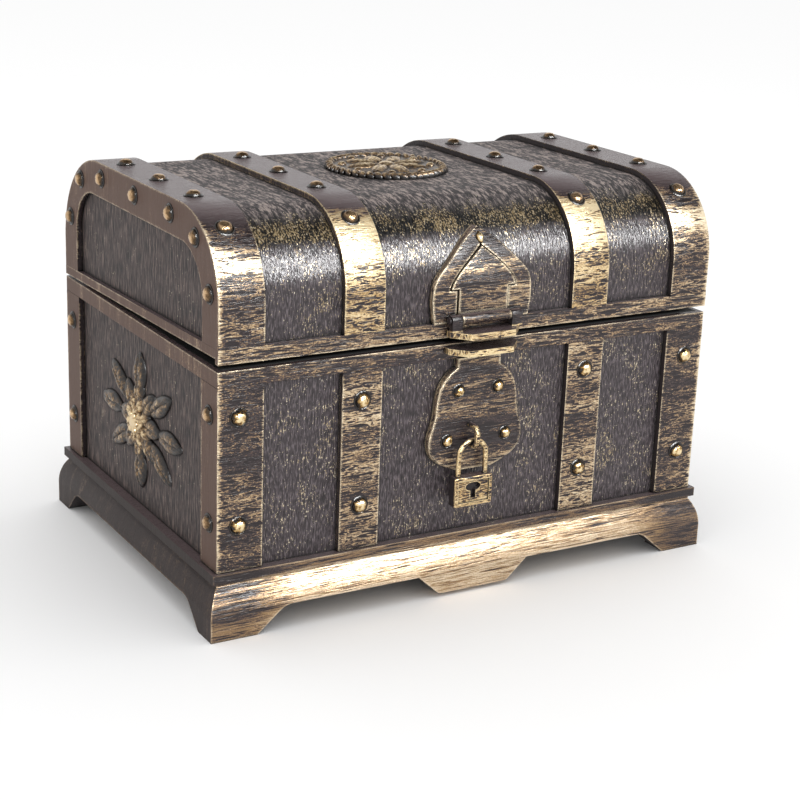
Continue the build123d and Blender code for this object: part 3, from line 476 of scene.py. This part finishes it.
# Rivets: brass-coloured ABS caps, a dome inside a narrow flange, pushed into the straps.
# The crown is brushed with gold and the groove round it stays black.
def rivet_paint(name, gold, pale, wear):
    """Gold paint that thins out from the crown down to a black groove."""
    made, tree, shader, place = new_material(name)
    crown = add_node(tree, "ShaderNodeAttribute", attribute_name="crown")
    worn = add_node(
        tree,
        "ShaderNodeTexNoise",
        {"Vector": place, "Scale": 0.9 / mm, "Detail": 3, "Roughness": 0.6},
    )
    paint = add_node(
        tree, "ShaderNodeMath", {0: worn.outputs[0], 1: wear, 2: -0.54 * wear}, operation="MULTIPLY_ADD"
    )
    paint = add_node(tree, "ShaderNodeMath", {0: crown.outputs["Fac"], 1: paint.outputs[0]}, operation="ADD")
    colour = add_node(
        tree,
        "ShaderNodeValToRGB",
        {0: paint.outputs[0]},
        ((0.2, "#17110d"), (0.45, "#4a3820"), (0.65, gold), (0.95, pale)),
    )
    metal = add_node(tree, "ShaderNodeMapRange", {0: paint.outputs[0], 1: 0.25, 2: 0.6, 4: 0.85})
    dents = add_node(
        tree, "ShaderNodeBump", {"Height": worn.outputs[0], "Strength": 0.5, "Distance": 0.5 * mm}
    )
    tree.links.new(colour.outputs[0], shader.inputs["Base Color"])
    tree.links.new(metal.outputs[0], shader.inputs["Metallic"])
    tree.links.new(dents.outputs[0], shader.inputs["Normal"])
    shader.inputs["Roughness"].default_value = 0.22
    return made


def rivet_cap(radius, height):
    """One cap at the origin, facing up: a flange, a groove and a dome, spun in one."""
    shape = bmesh.new()
    crown = shape.verts.layers.float.new("crown")
    outline = (
        (1.0, 0.0), (1.0, 0.1), (0.9, 0.22), (0.8, 0.16), (0.76, 0.34),
        (0.63, 0.68), (0.42, 0.9), (0.2, 0.98), (0.0, 1.0),
    )
    rim = [shape.verts.new((radius * out, 0, height * up)) for out, up in outline]
    edges = [shape.edges.new(pair) for pair in zip(rim, rim[1:])]
    bmesh.ops.spin(
        shape, geom=rim + edges, cent=(0, 0, 0), axis=(0, 0, 1), angle=2 * pi, steps=20, use_merge=True
    )
    bmesh.ops.remove_doubles(shape, verts=shape.verts, dist=0.001 * mm)
    bmesh.ops.holes_fill(shape, edges=shape.edges, sides=0)
    bmesh.ops.recalc_face_normals(shape, faces=shape.faces)
    for vert in shape.verts:
        vert[crown] = vert.co.z / height
    cap = bpy.data.meshes.new("rivet_cap")
    shape.to_mesh(cap)
    shape.free()
    return cap


def add_piece(name, shape, material, body, stands_for):
    """Turn a bmesh into a smooth piece that rides on a body and stands for a CAD node."""
    mesh = bpy.data.meshes.new(name)
    shape.to_mesh(mesh)
    shape.free()
    mesh.materials.append(material)
    mesh.shade_smooth()
    mesh.set_sharp_from_angle(angle=radians(40))
    piece = bpy.data.objects.new(name, mesh)
    bpy.context.collection.objects.link(piece)
    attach(piece, body)
    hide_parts(stands_for)


def add_rivets(name, cap, seats, material, body, stands_for):
    """All the rivets of one face in one piece, on seats of a place in mm and the way outwards."""
    shape = bmesh.new()
    for place, outward in seats:
        before = len(shape.verts)
        shape.from_mesh(cap)
        shape.verts.ensure_lookup_table()
        turn = Vector(outward).to_track_quat("Z", "Y").to_matrix().to_4x4()
        bmesh.ops.transform(
            shape, matrix=Matrix.Translation(Vector(place) * mm) @ turn, verts=shape.verts[before:]
        )
    add_piece(name, shape, material, body, stands_for)


brass_rivet = rivet_paint("brushed_brass_rivets", "#b08a52", "#f2dcae", wear=2.4)
# The rivets on the ends and the lid take a darker copy of the same paint: painted shade
shaded_rivet = rivet_paint("shaded_brass_rivets", "#7a6045", "#cbaa82", wear=1.2)
strap_cap = rivet_cap(2.3 * mm, 1.4 * mm)
columns = (-62.3, -31.2, 31.2, 62.3)
low_row, high_row = 26.6, 52.3
strap_face, end_face, hoop_top = 47.4, 67.5, 97.2
front_seats = [((x, -strap_face, z), (0, -1, 0)) for x in columns for z in (low_row, high_row)]
back_seats = [((x, strap_face, low_row), (0, 1, 0)) for x in columns]
back_seats += [((x, strap_face, high_row), (0, 1, 0)) for x in (columns[0], columns[-1])]
add_rivets("front_rivets", strap_cap, front_seats, brass_rivet, "box", "body_front_rivets")
add_rivets("back_rivets", strap_cap, back_seats, brass_rivet, "box", "body_back_rivets")
end_columns = (-42.9, 42.9)
lid_end_spots = (
    (-42.9, 79.81), (42.9, 79.81), (-35.3, 90.8), (35.3, 90.8), (-21.2, 93.4), (0, 93.4), (21.2, 93.4)
)
for side, way in (("left", -1), ("right", 1)):
    end_seats = [
        ((way * end_face, y, z), (way, 0, 0)) for y in end_columns for z in (low_row, high_row)
    ]
    add_rivets(f"{side}_end_rivets", strap_cap, end_seats, shaded_rivet, "box", f"body_{side}_rivets")
    lid_seats = [((way * end_face, y, z), (way, 0, 0)) for y, z in lid_end_spots]
    add_rivets(f"{side}_lid_end_rivets", strap_cap, lid_seats, shaded_rivet, "lid", f"lid_{side}_rivets")
# Each curve of the lid has its way, its middle, and how far out and up of that its rivets sit
front_middle, back_middle = (-27.57, 77.17), (23.6, 73.4)
curves = ((-1, front_middle, (19.9, 19.9)), (1, back_middle, (23.85, 23.7)))
lean = radians(54)
hoop_seats = [((x, y, hoop_top), (0, 0, 1)) for x in columns for y in (18.0, -2.5, -22.5)]
for x in columns:
    for way, middle, reach in curves:
        y = middle[0] + way * reach[0] * cos(lean)
        z = middle[1] + reach[1] * sin(lean)
        hoop_seats.append(((x, y, z), (0, way * cos(lean), sin(lean))))
add_rivets("hoop_rivets", strap_cap, hoop_seats, shaded_rivet, "lid", "lid_hoop_rivets")
lock_face = 47.9
lock_spots = ((-5.5, 51.39), (5.5, 51.39), (-8.15, 39.21), (8.15, 39.21))
lock_seats = [((x, -lock_face, z), (0, -1, 0)) for x, z in lock_spots]
lock_cap = rivet_cap(1.75 * mm, 1.2 * mm)
add_rivets("lock_rivets", lock_cap, lock_seats, brass_rivet, "box", "lock_plate_rivets")


# Reliefs: a leafy rosette on each end and a star in a rope ring on the lid, moulded with the panels.
# Their raised parts are brushed with dull gold and their hollows stay dark.
def add_blob(shape, length, width, height, turn, place, groove=0.0):
    """A long rounded leaf lying along X, grooved down its middle, then turned and moved."""
    made = bmesh.ops.create_uvsphere(shape, u_segments=24, v_segments=16, radius=1)["verts"]
    for vert in made:
        pinch = 1 - 0.35 * vert.co.x ** 2
        ribs = 0.4 * groove * (cos(9 * vert.co.x + 5 * abs(vert.co.y)) > 0.6)
        vein = 1 - groove * (1 - min(1, abs(vert.co.y) / 0.22)) - ribs
        size = Vector((length / 2, pinch * width / 2, height * vein)) * mm
        vert.co = vert.co * size
    bmesh.ops.rotate(shape, verts=made, cent=(0, 0, 0), matrix=Matrix.Rotation(radians(turn), 3, "Z"))
    bmesh.ops.translate(shape, verts=made, vec=Vector(place) * mm)


def add_ring(shape, count, first, out, lift, size, groove=0.0, twist=0, pointing=1):
    """Leaves at equal turns round a middle, each pointing outwards (1) or not (0), then twisted.

    The first turn and the twist are in degrees, and how far out and up the leaves lie is in mm.
    """
    for step in range(count):
        turn = first + step * 360 / count
        place = (out * cos(radians(turn)), out * sin(radians(turn)), lift)
        add_blob(shape, *size, pointing * turn + twist, place, groove)


def relief_paint(name):
    """Dark bronze paint, gold where the relief stands proud of the panel."""
    made, tree, shader, place = new_material(name)
    proud = add_node(tree, "ShaderNodeAttribute", attribute_name="crown")
    worn = add_node(
        tree,
        "ShaderNodeTexNoise",
        {"Vector": place, "Scale": 1.1 / mm, "Detail": 4, "Roughness": 0.65},
    )
    paint = add_node(
        tree, "ShaderNodeMath", {0: worn.outputs[0], 1: 1.7, 2: -0.85}, operation="MULTIPLY_ADD"
    )
    paint = add_node(tree, "ShaderNodeMath", {0: proud.outputs["Fac"], 1: paint.outputs[0]}, operation="ADD")
    colour = add_node(
        tree,
        "ShaderNodeValToRGB",
        {0: paint.outputs[0]},
        ((0.3, "#171211"), (0.52, "#443629"), (0.75, "#8b7153"), (1.0, "#dec7a0")),
    )
    metal = add_node(tree, "ShaderNodeMapRange", {0: paint.outputs[0], 1: 0.4, 2: 0.8, 4: 0.7})
    uneven = add_node(
        tree, "ShaderNodeBump", {"Height": worn.outputs[0], "Strength": 0.4, "Distance": 0.3 * mm}
    )
    tree.links.new(colour.outputs[0], shader.inputs["Base Color"])
    tree.links.new(metal.outputs[0], shader.inputs["Metallic"])
    tree.links.new(uneven.outputs[0], shader.inputs["Normal"])
    shader.inputs["Roughness"].default_value = 0.3
    return made


def mark_proud(shape, height):
    """Store how far each point stands proud, from 0 at the panel to 1 at the top."""
    crown = shape.verts.layers.float.new("crown")
    for vert in shape.verts:
        vert[crown] = max(0, vert.co.z / (height * mm))


bronze = relief_paint("brushed_bronze_relief_abs")
# Every leaf and ball is given as length, width and height in mm
inner_leaf, small_leaf, bud, seed = (10.5, 5.4, 1.7), (5.6, 3.0, 1.7), (7.6, 7.6, 2.6), (1.7, 1.7, 0.7)
long_leaf, slanted_leaf, broad_leaf = (14.0, 5.4, 1.6), (14.5, 5.4, 1.6), (10.5, 7.0, 1.6)
long_out, slanted_out, broad_out = 18.0, 14.25, 12.25
rosette = bmesh.new()
add_ring(rosette, 8, first=0, out=7, lift=0, size=inner_leaf, groove=0.3)
add_ring(rosette, 8, first=22.5, out=4.6, lift=0.4, size=small_leaf, groove=0.25)
for way in (-1, 1):
    add_blob(rosette, *long_leaf, 0, (way * long_out, 0, 0), 0.4)
    for turn in (-30, 30):
        place = (way * slanted_out * cos(radians(turn)), slanted_out * sin(radians(turn)), 0)
        add_blob(rosette, *slanted_leaf, way * turn, place, 0.4)
    add_blob(rosette, *broad_leaf, 90, (0, way * broad_out, 0), 0.4)
add_blob(rosette, *bud, 0, (0, 0, 0.4))
add_ring(rosette, 6, first=0, out=2.1, lift=2.4, size=seed, pointing=0)
mark_proud(rosette, 2.2)
rosette_mesh = bpy.data.meshes.new("rosette")
rosette.to_mesh(rosette_mesh)
rosette.free()
end_panel, rosette_height = 66.0, 37.55
for side, way in (("left", -1), ("right", 1)):
    shape = bmesh.new()
    shape.from_mesh(rosette_mesh)
    seat = Matrix(((0, 0, way), (way, 0, 0), (0, 1, 0))).to_4x4()
    seat.translation = Vector((way * end_panel, 0, rosette_height)) * mm
    bmesh.ops.transform(shape, matrix=seat, verts=shape.verts)
    add_piece(f"{side}_rosette", shape, bronze, "box", f"{side}_emblem")

# A disc carries the rope, the star's eight petals, the balls between them and a boss
disc_radius, disc_top, disc_height = 14.6 * mm, 13.4 * mm, 0.9 * mm
rope_strand, petal, ball, boss = (3.6, 1.7, 1.25), (10.2, 4.0, 1.4), (2.4, 2.4, 0.9), (5.2, 5.2, 1.4)
medallion_place = Vector((0, -0.5, 95.7)) * mm
medallion = bmesh.new()
bmesh.ops.create_cone(
    medallion, cap_ends=True, segments=64, radius1=disc_radius, radius2=disc_top, depth=disc_height,
    matrix=Matrix.Translation((0, 0, disc_height / 2)),
)
add_ring(medallion, 45, first=0, out=14.3, lift=0.35, size=rope_strand, twist=50)
add_ring(medallion, 8, first=0, out=6.4, lift=0.5, size=petal, groove=0.25)
add_ring(medallion, 8, first=22.5, out=11.2, lift=0.8, size=ball, pointing=0)
add_blob(medallion, *boss, 0, (0, 0, 0.5))
mark_proud(medallion, 1.9)
bmesh.ops.translate(medallion, verts=medallion.verts, vec=medallion_place)
add_piece("star_medallion", medallion, bronze, "lid", "lid_medallion")

# Hasp and lock: moulded plates, lips and a small padlock, brushed with more gold than the straps.
# The teardrop stud at the arch's point hides the pin that holds the plate.
yellower_gold = ((0.535, "#8a6a42"), (0.58, "#c29c64"), (0.72, "#ecd6a8"))
barrel_low, keyhole_floor = 67.2, -50.6
lock_paint = dry_brushed(
    "dry_brushed_lock_abs", heart=60, cover=-0.08, rims=(0, over_all), end_cover=0.0, top_cover=-0.08,
    edge=1.1, edge_cover=0.4, brush=(0.12, 1.5), end_tone="#6b543d",
)
lip_paint = dry_brushed(
    "dry_brushed_lip_abs", heart=60, cover=0.12, rims=(0, barrel_low), end_cover=0.05, top_cover=0.0,
    edge=0.5, edge_cover=0.2, bare_above=barrel_low, end_tone="#6b543d", gold=yellower_gold,
)
padlock_paint = dry_brushed(
    "dry_brushed_padlock_abs", heart=20, cover=0.03, rims=(0, over_all), end_cover=0.0, top_cover=0.0,
    edge=0.6, bare_behind=keyhole_floor, end_tone="#4a3a2c", gold=yellower_gold,
)
for name in ("lock_plate", "arch_plate", "hasp_leaf"):
    coat(name, lock_paint, 0.2)
for name in ("hasp_flap", "catch_lip"):
    coat(name, lip_paint, 0.12)
coat("padlock_body", padlock_paint, 0.12)
for name in ("lock_staple", "padlock_shackle", "hasp_pin"):
    coat(name, lip_paint, 0)
teardrop, teardrop_end = (3.3, 2.3, 1.1), 2.3
stud_tilt, stud_reach = radians(31.7), 20.18
across, up = cos(stud_tilt), sin(stud_tilt)
stud = bmesh.new()
add_blob(stud, *teardrop, 90, (0, -0.65, 0))
# Its lower end narrows to a quarter of the width
for vert in stud.verts:
    vert.co.x *= min(1, 0.25 + 0.38 * (vert.co.y / mm + teardrop_end))
mark_proud(stud, 0.8)
seat = Matrix(((1, 0, 0), (0, up, -across), (0, across, up))).to_4x4()
stud_y, stud_z = front_middle[0] - stud_reach * across, front_middle[1] + stud_reach * up
seat.translation = Vector((0, stud_y, stud_z)) * mm
bmesh.ops.transform(stud, matrix=seat, verts=stud.verts)
add_piece("teardrop_stud", stud, brass_rivet, "lid", "arch_stud")

# Rear hinges: stamped steel leaves with a rolled knuckle, brass plated and darkened.
# Small round-headed rivets hold them to the straps.
hinge_plating, tree, shader, place = new_material("darkened_brass_plated_steel")
tarnish = add_node(
    tree,
    "ShaderNodeTexNoise",
    {"Vector": place, "Scale": 0.3 / mm, "Detail": 3, "Roughness": 0.55},
)
colour = add_node(
    tree,
    "ShaderNodeValToRGB",
    {0: tarnish.outputs[0]},
    ((0.3, "#6d583c"), (0.52, "#84694a"), (0.7, "#a1855f")),
)
rough = add_node(tree, "ShaderNodeMapRange", {0: tarnish.outputs[0], 1: 0.35, 2: 0.7, 3: 0.45, 4: 0.3})
scratched = add_node(
    tree, "ShaderNodeBump", {"Height": tarnish.outputs[0], "Strength": 0.3, "Distance": 0.1 * mm}
)
tree.links.new(colour.outputs[0], shader.inputs["Base Color"])
tree.links.new(rough.outputs[0], shader.inputs["Roughness"])
tree.links.new(scratched.outputs[0], shader.inputs["Normal"])
shader.inputs["Metallic"].default_value = 1
for side in ("left", "right"):
    for name in (f"hinge_body_leaf_{side}", f"hinge_lid_leaf_{side}"):
        coat(name, hinge_plating, 0.15)
    coat(f"hinge_pin_{side}", hinge_plating, 0.1)
for name in ("hinge_body_rivets", "hinge_lid_rivets", "plinth_screws"):
    coat(name, hinge_plating, 0)

# Studio: a pale floor, white all round, one long softbox in front for the gloss and a dark card above.
# Softbox and card show in glossy surfaces only, so that they leave the light on the colours alone.
def add_sheet(name, size, place, colour):
    """A flat, dull square in the studio, its size in metres."""
    shape = bmesh.new()
    bmesh.ops.create_grid(shape, x_segments=1, y_segments=1, size=size / 2)
    mesh = bpy.data.meshes.new(name)
    shape.to_mesh(mesh)
    shape.free()
    made, _, shader, _ = new_material(name)
    shader.inputs["Base Color"].default_value = linear(colour)
    shader.inputs["Roughness"].default_value = 1.0
    shader.inputs["Specular IOR Level"].default_value = 0
    mesh.materials.append(made)
    sheet = bpy.data.objects.new(name, mesh)
    sheet.matrix_world = Matrix.Translation(place)
    bpy.context.collection.objects.link(sheet)
    return sheet


def add_lamp(name, place, target, width, height, power, gloss_only=False):
    """A rectangular softbox that faces a point, its places and sides in metres and its power in watts."""
    made = bpy.data.objects.new(name, bpy.data.lights.new(name, "AREA"))
    made.data.shape = "RECTANGLE"
    made.data.size = width
    made.data.size_y = height
    made.data.energy = power
    way = Vector(target) - Vector(place)
    made.matrix_world = Matrix.Translation(place) @ way.to_track_quat("-Z", "Y").to_matrix().to_4x4()
    made.visible_diffuse = not gloss_only
    bpy.context.collection.objects.link(made)


add_lamp(
    "front_softbox", place=(0.1, -0.75, 0.52), target=(0, 0, 0.08), width=0.9, height=0.22, power=26,
    gloss_only=True,
)
add_lamp("top_softbox", place=(0.1, -0.1, 0.9), target=(0, 0, 0.05), width=0.8, height=0.8, power=1.5)

add_sheet("pale_floor", size=12, place=(0, 0, 0), colour="#fafafa")
card = add_sheet("dark_card", size=1, place=(0.25, -0.02, 0.6), colour="#101010")
card.visible_camera = card.visible_diffuse = card.visible_shadow = False

world = bpy.data.worlds.new("studio")
bpy.context.scene.world = world
world.use_nodes = True
world.node_tree.nodes["Background"].inputs["Color"].default_value = (1, 1, 1, 1)
world.node_tree.nodes["Background"].inputs["Strength"].default_value = 1.0
